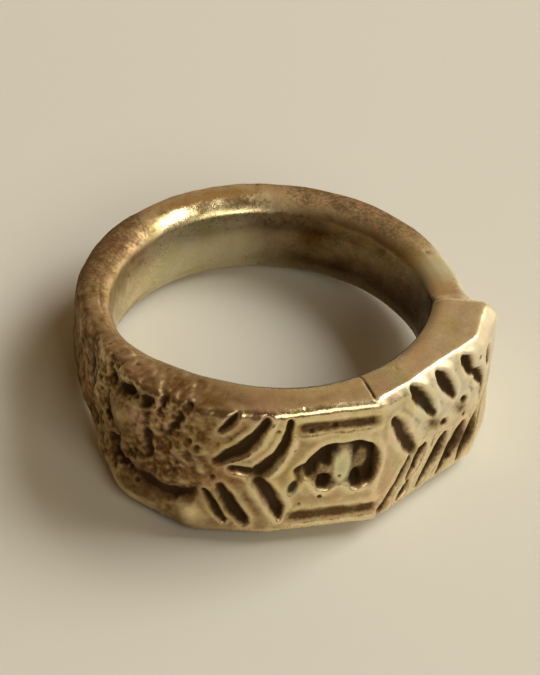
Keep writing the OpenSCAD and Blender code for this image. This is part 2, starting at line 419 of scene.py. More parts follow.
# %% Place the sections round the band
half_heights = (BACK_HEIGHT + (FRONT_HEIGHT - BACK_HEIGHT) * columns[:, FULL]) / 2
plan_reach = np.hypot(columns[:, 0], columns[:, 1])
outward = columns[:, :2] / plan_reach[:, None]
tangent = np.roll(columns[:, :2], -1, axis=0) - np.roll(columns[:, :2], 1, axis=0)
tangent /= np.linalg.norm(tangent, axis=1)[:, None]
facing = np.stack([tangent[:, 1], -tangent[:, 0]], axis=-1)

# Tables of distance along the band and value: the upper bevel, its tilt, and the rounding of the rim
BEVEL_AT = [(-16, 0.12), (-12, 0.2), (-7, 0.26), (3, 0.28), (4, 0.6), (14.6, 0.68), (16, 0.4), (18, 0.12)]
TILT_AT = [(3, 1.2), (4, 0.62), (11, 0.62), (13, 0.9), (16, 1.2)]
RIM_AT = [(-28, 0.44), (-19, 0.42), (-14, 0.42), (-6, 0.24), (14, 0.24), (20, 0.38), (28, 0.44)]
# The outer wall starts at this share of the band's thickness, and is all there after so much more of it
WALL_FROM = 0.80
WALL_FADE = 0.12
top_bevel = from_table(BEVEL_AT, along)
bevel_tilt = from_table(TILT_AT, along)
rim_rounding = from_table(RIM_AT, along)
band_points = []
wall_share = []
for column in range(len(columns)):
    wall = plan_reach[column] - HOLE_RADIUS
    edges = (top_bevel[column], bevel_tilt[column], rim_rounding[column])
    far, high = section(directions, wall, half_heights[column], columns[column, SQUARE], *edges)
    band_points.append(np.column_stack([outward[column, 0] * far, outward[column, 1] * far, high]))
    wall_share.append(rises(far - HOLE_RADIUS, wall * WALL_FROM, wall * WALL_FADE))
band_points = np.array(band_points)
wall_share = np.array(wall_share)
print("sections placed:", len(band_points), "of", len(directions), "points each")

# %% [markdown]
# The larger forms are pushed straight out of the smooth wall or into it: the shoulder's lumps, the bud, and
# the slight flare of the wing's wall, which lets the wide bevel above it catch the window. A fine crease
# crosses the top face beside the hexagon.

# %% Push the larger forms out and in
WING_FLARE = 0.22
CREASE_DEPTH = 0.09
CREASE_WIDTH = 0.09
height = band_points[:, :, 2] - CARVING_RISE
across = np.repeat(along[:, None], len(directions), axis=1)
facing_out = np.repeat(np.column_stack([facing, np.zeros(len(facing))])[:, None, :], len(directions), axis=1)
sunk_bud = bud_depth(across, height) * wall_share
pushed = lumps_at(across, height) * wall_share
on_wing = rises(across, 3.2, 2.5) * falls(across, 15.4, 1.0)
from_hole = np.hypot(band_points[:, :, 0], band_points[:, :, 1]) - HOLE_RADIUS
flare = WING_FLARE * on_wing * rises(height, -1.8, 4.5) * rises(from_hole, 0.9, 1.7)
band_points += facing_out * (pushed - sunk_bud + flare)[:, :, None]
crease_at = 3.5 - 0.5 * rises(from_hole, 0, 3)
crease = CREASE_DEPTH * np.exp(-((across - crease_at) / CREASE_WIDTH) ** 2) * rises(height, 3.2, 0.6)
band_points[:, :, 2] -= crease * (1 - wall_share)
print("lumps from", round(pushed.min(), 2), "to", round(pushed.max(), 2), "mm")
print("bud sunk by", round(sunk_bud.max(), 2), "mm")

# %% [markdown]
# Now the grid becomes a mesh. Each point keeps what later steps need to know: its place in the wall's map,
# which way is straight out, how deep it is sunk, how rough the casting is there and whether it is in the
# finger hole.

# %% Turn the grid into a mesh
# The fine crease is darkened more than its depth says
CREASE_DARKENING = 4


def grid_faces(column_count, row_count):
    """Quads of a grid that closes on itself both ways."""
    first = np.arange(column_count)[:, None] * row_count
    second = (np.arange(column_count)[:, None] + 1) % column_count * row_count
    row = np.arange(row_count)[None, :]
    next_row = (row + 1) % row_count
    return np.stack([first + row, second + row, second + next_row, first + next_row], axis=-1).reshape(-1, 4)


def add_attribute(mesh, name, values):
    """Keeps one number, or one vector, for each point of a mesh."""
    is_vector = values.ndim == 2
    attribute = mesh.attributes.new(name, "FLOAT_VECTOR" if is_vector else "FLOAT", "POINT")
    attribute.data.foreach_set("vector" if is_vector else "value", values.astype(np.float32).ravel())


band_mesh = bpy.data.meshes.new("cast_ring")
band_mesh.from_pydata((band_points.reshape(-1, 3) * MM).tolist(), [], grid_faces(*across.shape).tolist())
add_attribute(band_mesh, "along", across.ravel())
add_attribute(band_mesh, "height", height.ravel())
add_attribute(band_mesh, "wall_share", wall_share.ravel())
add_attribute(band_mesh, "facing", facing_out.reshape(-1, 3))
add_attribute(band_mesh, "sunk", (sunk_bud + CREASE_DARKENING * crease * (1 - wall_share)).ravel())
# The shoulder is the roughest, the shank is a little rough, and the rims and the finger hole are smooth
rough = falls(across, -4.6, 3.5) * rises(across, -24, 10)
rough = rough * (1 - 0.93 * calm_at(across, height))
shank = rises(np.abs(across - 1), 14, 4)
in_hole = np.clip(1.15 - from_hole / 0.7, 0, 1)
roughness = np.clip(0.22 + 0.78 * rough + 0.08 * shank, 0, 1)
roughness = roughness * np.clip(0.25 + from_hole / 1.6, 0, 1) * (1 - in_hole)
add_attribute(band_mesh, "rough", roughness.ravel())
add_attribute(band_mesh, "in_hole", in_hole.ravel())
ring = bpy.data.objects.new("cast_ring", band_mesh)
bpy.context.scene.collection.objects.link(ring)
print("band points:", len(band_mesh.vertices), "quads:", len(band_mesh.polygons))

# %% [markdown]
# Chevron grooves run away from the hexagon on both sides, and longer curved grooves frame it. Each one is a
# stroke of the graver: it bites in, swells and runs out thin. So a stroke is only a line in the wall's map
# whose every point has its own width and depth, and one rule will turn all of them into grooves.

# %% Table of the strokes
GROOVE_WIDTH = 0.46
# Straight nicks: both ends, then the width and the depth as shares
NICKS = [
    ((5.70, 3.65), (7.75, 0.85), 1.20, 1.0),
    ((7.75, 3.60), (9.30, 1.20), 1.15, 1.0),
    ((9.85, 3.50), (10.75, 1.95), 1.10, 1.0),
    ((10.85, 2.10), (12.10, 0.40), 1.10, 1.0),
    ((12.20, 2.70), (13.20, 0.90), 1.00, 0.9),
    ((8.55, -0.25), (8.90, -0.55), 0.90, 0.6),
    ((10.00, 0.60), (10.35, 0.30), 0.75, 0.6),
    ((11.70, 0.75), (12.10, 0.35), 0.70, 0.6),
    ((7.20, -1.20), (5.95, -2.85), 1.05, 0.95),
    ((5.95, -3.20), (5.30, -4.00), 0.90, 0.8),
    ((8.90, -1.40), (6.90, -3.95), 1.10, 1.0),
    ((10.35, -1.45), (8.55, -4.00), 1.10, 1.0),
    ((11.70, -1.35), (10.15, -4.00), 1.10, 1.0),
    ((13.00, -1.10), (11.70, -3.70), 1.05, 0.9),
    ((-4.85, 3.85), (-5.60, 2.85), 0.85, 0.9),
    ((-10.00, 3.50), (-10.50, 2.80), 1.10, 0.9),
    ((-6.30, -1.45), (-5.15, -3.45), 0.80, 0.9),
]
# How a nick swells and runs out: a share of its length, then the shares of its width and depth there
NICK_SHAPE = [(0.0, 0.70, 0.75), (0.12, 1.0, 1.0), (0.5, 1.0, 1.0), (0.8, 0.85, 0.85), (1.0, 0.5, 0.4)]
# Curved grooves: the depth as a share, then points as (along, height, width as a share)
CURVED = [
    (0.55, [(4.3, 2.35, 0.8), (4.6, 1.8, 1.2), (5.25, 0.6, 1.45), (6.4, -1.2, 1.0)]),
    (0.90, [(6.0, -1.35, 0.7), (5.0, -2.8, 0.85), (3.8, -4.0, 1.1)]),
    (1.00, [(-1.85, 3.45, 0.7), (-1.95, 2.1, 0.95), (-2.5, 1.0, 1.15), (-3.7, -0.2, 1.35)]),
    (1.00, [(-3.5, -0.45, 1.1), (-2.95, -1.3, 1.25), (-2.35, -2.2, 1.3), (-2.15, -3.2, 0.8)]),
    (1.00, [(-3.1, 3.7, 0.8), (-3.65, 2.5, 1.15), (-4.45, 1.5, 1.45), (-5.7, 0.75, 0.9)]),
    (0.60, [(-5.0, 0.25, 0.6), (-4.2, 0.1, 0.9), (-3.6, -0.1, 1.1)]),
    (1.00, [(-5.45, -1.05, 0.9), (-4.95, -2.2, 1.15), (-4.05, -3.55, 0.95)]),
    (0.36, [(-1.35, 2.88, 1.3), (3.1, 2.88, 1.3)]),
    (0.34, [(-1.6, -3.35, 1.25), (3.4, -3.35, 1.25)]),
]


def corners_cut(points, rounds=2):
    """A bent line with its corners cut off again and again, until it is a smooth curve."""
    for _ in range(rounds):
        cut_off = [points[:-1] * 0.75 + points[1:] * 0.25, points[:-1] * 0.25 + points[1:] * 0.75]
        between = np.stack(cut_off, axis=1).reshape(-1, points.shape[1])
        points = np.vstack([points[:1], between, points[-1:]])
    return points


def all_strokes():
    """Every stroke as rows of distance along, height, width share and depth share."""
    strokes = []
    for first, last, width, depth in NICKS:
        strokes.append(np.array([
            (first[0] + (last[0] - first[0]) * t, first[1] + (last[1] - first[1]) * t, width * w, depth * d)
            for t, w, d in NICK_SHAPE
        ]))
    for depth, points in CURVED:
        curve = corners_cut(np.array(points))
        t = np.linspace(0, 1, len(curve))
        run_out = np.clip(0.5 + 4 * np.minimum(t, 1 - t), 0, 1)
        strokes.append(np.column_stack([curve, depth * run_out]))
    return strokes


strokes = all_strokes()
stroke_rows = np.vstack(strokes)
last_points = np.cumsum([len(stroke) for stroke in strokes]) - 1
stroke_edges = [(i, i + 1) for i in range(len(stroke_rows) - 1) if i not in last_points]
stroke_mesh = bpy.data.meshes.new("graver_strokes")
stroke_mesh.from_pydata([(x, y, 0) for x, y in stroke_rows[:, :2]], stroke_edges, [])
add_attribute(stroke_mesh, "width_share", stroke_rows[:, 2])
add_attribute(stroke_mesh, "depth_share", stroke_rows[:, 3])
stroke_lines = bpy.data.objects.new("graver_strokes", stroke_mesh)
bpy.context.scene.collection.objects.link(stroke_lines)
print("strokes:", len(strokes), "points:", len(stroke_rows))

# %% [markdown]
# Node trees are drawn with small helpers: one makes a tree with named inputs, one makes a node and fills
# its sockets, and the others are the few kinds of step that come again and again. An input given as a
# socket becomes a link, and anything else becomes the socket's own value.

# %% Helpers that draw node trees
def new_tree(name, inputs):
    """A geometry tree with the given inputs after its geometry, as (name, socket type, value)."""
    tree = bpy.data.node_groups.new(name, "GeometryNodeTree")
    tree.interface.new_socket(name="Geometry", in_out="INPUT", socket_type="NodeSocketGeometry")
    tree.interface.new_socket(name="Geometry", in_out="OUTPUT", socket_type="NodeSocketGeometry")
    for label, kind, value in inputs:
        made = tree.interface.new_socket(name=label, in_out="INPUT", socket_type=kind)
        if value is not None:
            made.default_value = value
    return tree, tree.nodes.new("NodeGroupInput").outputs


def add(tree, kind, inputs=None, **settings):
    """A node with its settings, and its inputs as values or as other nodes' sockets."""
    made = tree.nodes.new(kind)
    for name, value in settings.items():
        setattr(made, name, value)
    for name, value in (inputs or {}).items():
        if isinstance(name, int):
            target = made.inputs[name]
        else:
            target = next(socket for socket in made.inputs if socket.name == name and socket.enabled)
        if isinstance(value, bpy.types.NodeSocket):
            tree.links.new(value, target)
        else:
            target.default_value = value
    return made


def out(made, name=None):
    """A node's output by name, or its first one that is in use."""
    return next(socket for socket in made.outputs if socket.enabled and name in (None, socket.name))


def maths(tree, operation, *values, clamp=False):
    """One step of arithmetic on numbers or sockets, with its result held between 0 and 1 if asked."""
    return out(add(tree, "ShaderNodeMath", dict(enumerate(values)), operation=operation, use_clamp=clamp))


def vector_maths(tree, operation, *values):
    """One step of arithmetic on vectors. The node takes the factor of SCALE in its fourth socket."""
    inputs = {3 if operation == "SCALE" and i == 1 else i: value for i, value in enumerate(values)}
    return out(add(tree, "ShaderNodeVectorMath", inputs, operation=operation))


def ramp(tree, value, low, high, to_low=0.0, to_high=1.0, **settings):
    """Maps a value's range onto another, held at both ends."""
    return out(add(tree, "ShaderNodeMapRange", {
        "Value": value, "From Min": low, "From Max": high, "To Min": to_low, "To Max": to_high,
    }, **settings))


def soft_ramp(tree, value, low, high, to_low, to_high):
    """The same with soft ends."""
    return ramp(tree, value, low, high, to_low, to_high, interpolation_type="SMOOTHSTEP")


def noise(tree, place, scale, detail=3.0, rough_share=0.55):
    """Noise at a scale per metre."""
    return add(tree, "ShaderNodeTexNoise", {
        "Vector": place, "Scale": scale, "Detail": detail, "Roughness": rough_share,
    }).outputs[0]


def stored(tree, name, kind="FLOAT"):
    """A value that the mesh keeps for each point."""
    return out(add(tree, "GeometryNodeInputNamedAttribute", {"Name": name}, data_type=kind))


def keep(tree, geometry, name, value):
    """The geometry with one more number kept for each point."""
    return out(add(tree, "GeometryNodeStoreNamedAttribute", {
        "Geometry": geometry, "Name": name, "Value": value,
    }, data_type="FLOAT", domain="POINT"))


def use_tree(thing, tree, values):
    """Puts the tree on an object as a modifier, with its inputs set by their identifiers."""
    modifier = thing.modifiers.new(tree.name, "NODES")
    modifier.node_group = tree
    for item in tree.interface.items_tree:
        if item.item_type == "SOCKET" and item.in_out == "INPUT" and item.name in values:
            modifier[item.identifier] = values[item.name]


def end_tree(tree, geometry, material):
    """Realize Instances, Set Material and the tree's output."""
    real = add(tree, "GeometryNodeRealizeInstances", {"Geometry": geometry})
    dressed = add(tree, "GeometryNodeSetMaterial", {"Geometry": out(real), "Material": material})
    add(tree, "NodeGroupOutput", {"Geometry": out(dressed)})


print("helpers ready")

# %% [markdown]
# The carving tree turns the strokes into flat ribbons, each as wide as its stroke says. Every point of the
# wall looks up its own place in that drawing and asks how far the nearest ribbon is: under it the metal
# sinks to full depth, and within the softness beside it the side of the groove rises again. Just outside,
# the metal that the graver pushed away stands up as a low lip, and that lip is what catches the light.

# %% Geometry nodes that draw the graver's strokes as ribbons
NUMBER = "NodeSocketFloat"
# Both soft flanks of a groove take this much of its width, and the ribbon is what is left between them
FLANKS = 0.40
THINNEST_CORE = 0.02
# Noise keeps close to its middle, so its swing is stretched to make the hand's wobble
NOISE_MIDDLE = 0.5
NOISE_STRETCH = 4.0
carve_tree, given = new_tree("Graver cuts", [
    ("Strokes", "NodeSocketObject", None),
    ("Groove width", NUMBER, GROOVE_WIDTH),
    ("Groove depth", NUMBER, 0.44),
    ("Softness", NUMBER, 0.40),
    ("Lip height", NUMBER, 0.07),
    ("Wobble", NUMBER, 0.1),
    ("Seed", NUMBER, 3.0),
    ("Metal", "NodeSocketMaterial", None),
])
lines_given = add(carve_tree, "GeometryNodeObjectInfo", {"Object": given["Strokes"]})
as_curves = add(carve_tree, "GeometryNodeMeshToCurve", {"Mesh": out(lines_given, "Geometry")})
kept_flat = add(carve_tree, "GeometryNodeSetCurveNormal", {"Curve": out(as_curves)}, mode="Z_UP")
crossbar = add(carve_tree, "GeometryNodeCurvePrimitiveLine", {"Start": (-0.5, 0, 0), "End": (0.5, 0, 0)})
core_width = maths(carve_tree, "MULTIPLY", stored(carve_tree, "width_share"), given["Groove width"])
core_width = maths(carve_tree, "MAXIMUM", maths(carve_tree, "SUBTRACT", core_width, FLANKS), THINNEST_CORE)
drawing = out(add(carve_tree, "GeometryNodeCurveToMesh", {
    "Curve": out(kept_flat), "Profile Curve": out(crossbar), "Scale": core_width,
}))
map_place = out(add(carve_tree, "ShaderNodeCombineXYZ", {
    "X": stored(carve_tree, "along"),
    "Y": stored(carve_tree, "height"),
}))
shake = add(carve_tree, "ShaderNodeTexNoise", {
    "Vector": map_place, "W": given["Seed"], "Scale": 1.1, "Detail": 3.0,
}, noise_dimensions="4D")
shaken = vector_maths(carve_tree, "SUBTRACT", out(shake, "Color"), (NOISE_MIDDLE,) * 3)
wobble = maths(carve_tree, "MULTIPLY", given["Wobble"], NOISE_STRETCH)
shaken = vector_maths(carve_tree, "SCALE", shaken, wobble)
shaken = vector_maths(carve_tree, "MULTIPLY", shaken, (1.0, 1.0, 0.0))
looked_up = vector_maths(carve_tree, "ADD", map_place, shaken)
print("nodes of the drawing:", len(carve_tree.nodes))

# %% Geometry nodes that sink the wall under the ribbons
nearest = add(carve_tree, "GeometryNodeProximity", {
    "Geometry": drawing, "Sample Position": looked_up,
}, target_element="FACES")


def share_of_nearest(name):
    """What the nearest cut in the drawing keeps under a name."""
    found = add(carve_tree, "GeometryNodeSampleNearestSurface", {
        "Mesh": drawing, "Value": stored(carve_tree, name), "Sample Position": looked_up,
    }, data_type="FLOAT")
    return out(found, "Value")


flank_share = maths(carve_tree, "MAXIMUM", share_of_nearest("width_share"), 0.6)
flank_share = maths(carve_tree, "MINIMUM", flank_share, 1.2)
flank = maths(carve_tree, "MULTIPLY", flank_share, given["Softness"])
beside = maths(carve_tree, "DIVIDE", out(nearest, "Distance"), flank)
share_there = maths(carve_tree, "MULTIPLY", share_of_nearest("depth_share"), stored(carve_tree, "wall_share"))
depth = soft_ramp(carve_tree, beside, 0.0, 1.0, 1.0, 0.0)
depth = maths(carve_tree, "MULTIPLY", depth, given["Groove depth"])
depth = maths(carve_tree, "MULTIPLY", depth, share_there)
lip_starts = soft_ramp(carve_tree, beside, 0.7, 1.2, 0.0, 1.0)
lip_ends = soft_ramp(carve_tree, beside, 1.2, 2.4, 1.0, 0.0)
lip = maths(carve_tree, "MULTIPLY", lip_starts, lip_ends)
lip = maths(carve_tree, "MULTIPLY", lip, maths(carve_tree, "MULTIPLY", share_there, given["Lip height"]))
inward = vector_maths(carve_tree, "SCALE", stored(carve_tree, "facing", "FLOAT_VECTOR"), -MM)
sink = add(carve_tree, "GeometryNodeSetPosition", {
    "Geometry": given["Geometry"],
    "Offset": vector_maths(carve_tree, "SCALE", inward, maths(carve_tree, "SUBTRACT", depth, lip)),
})
deepest = maths(carve_tree, "MAXIMUM", depth, stored(carve_tree, "sunk"))
end_tree(carve_tree, keep(carve_tree, out(sink), "sunk", deepest), given["Metal"])
print("carving tree nodes:", len(carve_tree.nodes))

# %% [markdown]
# A second tree gives the casting its skin. Gas bubbles and grit leave round pits of many sizes, scattered
# with a fixed seed and thickest where the casting is rough. Between them the metal is uneven: broad waves
# from the hammer and a fine grain from the mould. The finger hole is left smooth.

# %% Geometry nodes that scatter the pits
# Pits crowd where the casting is rough: this power makes them rare elsewhere
PIT_CROWDING = 1.5
skin_tree, given = new_tree("Cast skin", [
    ("Pits per square mm", NUMBER, 0.9),
    ("Pit radius", NUMBER, 0.22),
    ("Pit depth", NUMBER, 0.10),
    ("Lump height", NUMBER, 0.18),
    ("Web height", NUMBER, 0.13),
    ("Granule height", NUMBER, 0.15),
    ("Wave height", NUMBER, 0.20),
    ("Grain height", NUMBER, 0.07),
    ("Seed", "NodeSocketInt", 7),
    ("Metal", "NodeSocketMaterial", None),
])
here = out(add(skin_tree, "GeometryNodeInputPosition"))
straight_out = out(add(skin_tree, "GeometryNodeInputNormal"))
roughness_here = stored(skin_tree, "rough")
per_square_metre = maths(skin_tree, "DIVIDE", given["Pits per square mm"], MM * MM)
crowding = maths(skin_tree, "POWER", roughness_here, PIT_CROWDING)
scatter = add(skin_tree, "GeometryNodeDistributePointsOnFaces", {
    "Mesh": given["Geometry"],
    "Density": maths(skin_tree, "MULTIPLY", per_square_metre, crowding),
    "Seed": given["Seed"],
})
any_size = add(skin_tree, "FunctionNodeRandomValue", {
    "Min": 0.35, "Max": 1.0, "Seed": given["Seed"],
}, data_type="FLOAT")
pit_size = maths(skin_tree, "MULTIPLY", out(any_size), given["Pit radius"])
sized = keep(skin_tree, out(scatter, "Points"), "pit_size", pit_size)
nearest_pit = out(add(skin_tree, "GeometryNodeSampleNearest", {"Geometry": sized, "Sample Position": here}))


def of_nearest_pit(value, kind):
    """What a value is at the nearest pit."""
    return out(add(skin_tree, "GeometryNodeSampleIndex", {
        "Geometry": sized, "Value": value, "Index": nearest_pit,
    }, data_type=kind, domain="POINT"))


pit_middle = of_nearest_pit(here, "FLOAT_VECTOR")
pit_reach = of_nearest_pit(stored(skin_tree, "pit_size"), "FLOAT")
gap = add(skin_tree, "ShaderNodeVectorMath", {0: here, 1: pit_middle}, operation="DISTANCE")
gap_in_mm = maths(skin_tree, "DIVIDE", out(gap, "Value"), MM)
bowl = soft_ramp(skin_tree, maths(skin_tree, "DIVIDE", gap_in_mm, pit_reach), 0.25, 1.0, 1.0, 0.0)
size_share = maths(skin_tree, "DIVIDE", pit_reach, given["Pit radius"])
pit = maths(skin_tree, "MULTIPLY", maths(skin_tree, "MULTIPLY", bowl, size_share), given["Pit depth"])
print("nodes of the pits:", len(skin_tree.nodes))

# %% [markdown]
# The rest of the skin is patterns at several scales, each given as so many per metre. Every pattern has a
# level at which it leaves the surface in place, so that it makes hollows as well as bumps. The bumps, the
# web of ridges between them and the granules belong to the roughest places alone.

# %% Geometry nodes that raise the cast skin
LUMP_SCALE = 1050.0
WEB_SCALE = 1300.0
WAVE_SCALE = 450.0
GRAIN_SCALE = 2200.0
GRANULE_SCALE = 2600.0
LUMP_LEVEL = 0.45
WEB_LEVEL = 0.08
GRANULE_LEVEL = 0.4
WEB_STEEPNESS = 3.0
ROUGHEST_ONLY = 3.0


def soft_cells(scale, smoothness):
    """Soft round cells, low in the middle of a cell and high between cells."""
    return out(add(skin_tree, "ShaderNodeTexVoronoi", {
        "Vector": here, "Scale": scale, "Smoothness": smoothness, "Randomness": 1.0,
    }, feature="SMOOTH_F1"))


def raised(high, low, label):
    """The difference of two values, times the tree's input of that name."""
    return maths(skin_tree, "MULTIPLY", maths(skin_tree, "SUBTRACT", high, low), given[label])


waves = raised(noise(skin_tree, here, WAVE_SCALE, 2.0, 0.5), NOISE_MIDDLE, "Wave height")
waves = maths(skin_tree, "MULTIPLY", waves, maths(skin_tree, "SUBTRACT", 1.0, stored(skin_tree, "in_hole")))
grain = raised(noise(skin_tree, here, GRAIN_SCALE, 3.0, 0.6), NOISE_MIDDLE, "Grain height")
grain = maths(skin_tree, "MULTIPLY", grain, roughness_here)
lumps = raised(LUMP_LEVEL, soft_cells(LUMP_SCALE, 0.5), "Lump height")
web = maths(skin_tree, "SUBTRACT", noise(skin_tree, here, WEB_SCALE, 2.0, 0.6), NOISE_MIDDLE)
ridges = raised(WEB_LEVEL, maths(skin_tree, "ABSOLUTE", web), "Web height")
lumps = maths(skin_tree, "ADD", lumps, maths(skin_tree, "MULTIPLY", ridges, WEB_STEEPNESS))
granules = raised(GRANULE_LEVEL, soft_cells(GRANULE_SCALE, 0.3), "Granule height")
lumps = maths(skin_tree, "ADD", lumps, granules)
lumps = maths(skin_tree, "MULTIPLY", lumps, maths(skin_tree, "POWER", roughness_here, ROUGHEST_ONLY))
rise = maths(skin_tree, "SUBTRACT", maths(skin_tree, "ADD", waves, grain), pit)
rise = maths(skin_tree, "ADD", rise, lumps)
rise = maths(skin_tree, "MULTIPLY", rise, MM)
moved = add(skin_tree, "GeometryNodeSetPosition", {
    "Geometry": given["Geometry"], "Offset": vector_maths(skin_tree, "SCALE", straight_out, rise),
})
end_tree(skin_tree, keep(skin_tree, out(moved), "pit", pit), given["Metal"])
print("skin tree nodes:", len(skin_tree.nodes))

# %% [markdown]
# The metal is one material. Bronze is a warm yellow mirror where it is rubbed, and a dull dark brown
# where oxide has stayed. Masks kept on the mesh say where it is worn, aged, pale or hollow, and noise
# breaks their edges. Some masks paint light and shade: painted shade darkens the finger hole, the worn
# edges carry painted highlights, and the pale mask holds painted highlights and a painted reflection as
# well as rubbed metal. A green and a pink cast lie on a few small places, and a rosy and an olive tone
# drift over all of it, very faint, as they do on old bronze. The back of the finger hole is a little green,
# and painted lighter.

# %% Colours of the bronze
def colour_mix(tree, share, first, second, **settings):
    """Two colours mixed by a share."""
    inputs = {"Factor": share, "A": first, "B": second}
    return out(add(tree, "ShaderNodeMix", inputs, data_type="RGBA", **settings))


RUBBED = (0.77, 0.61, 0.34, 1)
# Pale rubbed bronze, used also for painted highlights and painted reflections
PALE_AND_SHEEN = (0.80, 0.74, 0.57, 1)
# Bright worn edges, which also stand for painted highlights where ridges catch the light
BRIGHT_EDGE_AND_HIGHLIGHT = (0.93, 0.80, 0.50, 1)
BROWNED = (0.285, 0.160, 0.048, 1)
DULLED = (0.180, 0.102, 0.048, 1)
# Painted shade in the finger hole, dark brown
BORE_SHADE_BROWN = (0.075, 0.034, 0.006, 1)
OXIDE = (0.050, 0.026, 0.008, 1)
GREEN_CAST = (0.63, 0.69, 0.42, 1)
PINK_CAST = (0.70, 0.46, 0.34, 1)
PLAIN = (1, 1, 1, 1)
ROSE_FILTER = (1, 0.90, 0.89, 1)
OLIVE_FILTER = (0.90, 0.88, 0.74, 1)
print("rubbed bronze:", RUBBED[:3], "browned:", BROWNED[:3])

# %% Bronze material
def bronze_material():
    """Rubbed bronze with brown patina and dark oxide in the hollows."""
    material = bpy.data.materials.new("bronze")
    material.use_nodes = True
    tree = material.node_tree
    shader = tree.nodes["Principled BSDF"]
    place = out(add(tree, "ShaderNodeTexCoord"), "Object")

    def kept(name):
        """A mask kept on the mesh."""
        return add(tree, "ShaderNodeAttribute", attribute_name=name).outputs["Fac"]

    def maths_here(operation, *values, clamp=False):
        """One step of arithmetic in this material."""
        return maths(tree, operation, *values, clamp=clamp)

    coarse = noise(tree, place, 420.0)
    middling = noise(tree, place, 1200.0, 5.0, 0.62)
    fine = noise(tree, place, 5200.0, 4.0, 0.65)
    uneven = maths_here("MULTIPLY", maths_here("SUBTRACT", fine, NOISE_MIDDLE), 0.30)
    patchy = maths_here("MULTIPLY", maths_here("SUBTRACT", middling, NOISE_MIDDLE), 0.42)
    broken = maths_here("ADD", maths_here("ADD", kept("hollow"), uneven), patchy)
    oxide = ramp(tree, broken, 0.36, 0.85, 0.0, 0.93)
    aged = maths_here("MULTIPLY", kept("aged"), ramp(tree, middling, 0.34, 0.66, 0.74, 1.22))
    aged = maths_here("SUBTRACT", aged, maths_here("MULTIPLY", kept("worn_and_highlight"), 0.55), clamp=True)
    patina = maths_here("MAXIMUM", aged, ramp(tree, broken, 0.08, 0.5, 0.0, 0.92))
    # Paler metal: rubbed, and partly a painted highlight and reflection
    colour = colour_mix(tree, kept("pale_and_sheen"), RUBBED, PALE_AND_SHEEN)
    # Worn edges are lightened: rubbed metal, and partly a painted highlight on ridges
    edge_wear_and_highlight = maths_here("MULTIPLY", kept("worn_and_highlight"), ramp(tree, middling, 0.35, 0.6, 0.15, 0.75))
    colour = colour_mix(tree, edge_wear_and_highlight, colour, BRIGHT_EDGE_AND_HIGHLIGHT)
    brown = colour_mix(tree, ramp(tree, fine, 0.38, 0.62), BROWNED, DULLED)
    colour = colour_mix(tree, patina, colour, brown)
    drift = noise(tree, place, 520.0, 2.0)
    tinted = colour_mix(tree, ramp(tree, drift, 0.52, 0.66), PLAIN, ROSE_FILTER)
    tinted = colour_mix(tree, ramp(tree, drift, 0.48, 0.36), tinted, OLIVE_FILTER)
    colour = colour_mix(tree, 1.0, colour, tinted, blend_type="MULTIPLY")
    colour = colour_mix(tree, kept("green"), colour, GREEN_CAST)
    colour = colour_mix(tree, kept("pink"), colour, PINK_CAST)
    # Painted shade: the finger hole is darkened, most of all on its right and at the front
    bore_shade = maths_here("MULTIPLY", kept("inside"), ramp(tree, coarse, 0.35, 0.65, 0.85, 1.0))
    colour = colour_mix(tree, bore_shade, colour, BORE_SHADE_BROWN)
    colour = colour_mix(tree, oxide, colour, OXIDE)
    tree.links.new(colour, shader.inputs["Base Color"])
    metal = maths_here("SUBTRACT", 1.0, maths_here("MULTIPLY", kept("pale_and_sheen"), 0.38))
    metal = maths_here("MULTIPLY", metal, ramp(tree, oxide, 0.0, 1.0, 1.0, 0.2))
    tree.links.new(metal, shader.inputs["Metallic"])
    tree.links.new(ramp(tree, oxide, 0.0, 1.0, 0.5, 0.15), shader.inputs["Specular IOR Level"])
    dull = ramp(tree, patina, 0.0, 1.0, 0.22, 0.42)
    dull = maths_here("ADD", dull, ramp(tree, fine, 0.3, 0.7, -0.05, 0.08))
    dull = maths_here("ADD", dull, maths_here("MULTIPLY", kept("pale_and_sheen"), 0.16))
    dull = maths_here("ADD", dull, ramp(tree, broken, 0.05, 0.35, 0.0, 0.40), clamp=True)
    tree.links.new(dull, shader.inputs["Roughness"])
    bump = add(tree, "ShaderNodeBump", {"Height": fine, "Strength": 0.22, "Distance": 0.00005})
    tree.links.new(out(bump), shader.inputs["Normal"])
    return material


bronze = bronze_material()
print("bronze nodes:", len(bronze.node_tree.nodes))

# %% [markdown]
# Both trees now run on the band, the carving first and the skin over it. The result is copied out as a
# plain mesh, because the frame wants finished pieces without modifiers, and the strokes have done their work.

# %% Run both trees and turn the result into a plain mesh
use_tree(ring, carve_tree, {"Strokes": stroke_lines, "Metal": bronze})
use_tree(ring, skin_tree, {"Metal": bronze})
finished = bpy.data.meshes.new_from_object(ring.evaluated_get(bpy.context.evaluated_depsgraph_get()))
ring.modifiers.clear()
ring.data = finished
bpy.data.objects.remove(stroke_lines)
print("points after carving:", len(finished.vertices))

# %% [markdown]
# Patina stays where a cloth can't reach, and edges shine where it rubs; the edges' shine is also a painted
# highlight, where ridges catch the light. Both can be read off the shape: a copy of the surface is smoothed
# by averaging each point with its neighbours, and a point that lies under the smooth copy is in a hollow,
# while one that stands over it is on an edge.

# %% Measure how each point stands to its surroundings
NEAR_ROUNDS = 8
FAR_ROUNDS = 40


def read_points(mesh, name=None):
    """Positions or a kept number for every point of a mesh."""
    if name is None:
        values = np.empty(len(mesh.vertices) * 3, np.float32)
        mesh.vertices.foreach_get("co", values)
        return values.reshape(-1, 3).astype(float)
    values = np.empty(len(mesh.vertices), np.float32)
    mesh.attributes[name].data.foreach_get("value", values)
    return values.astype(float)


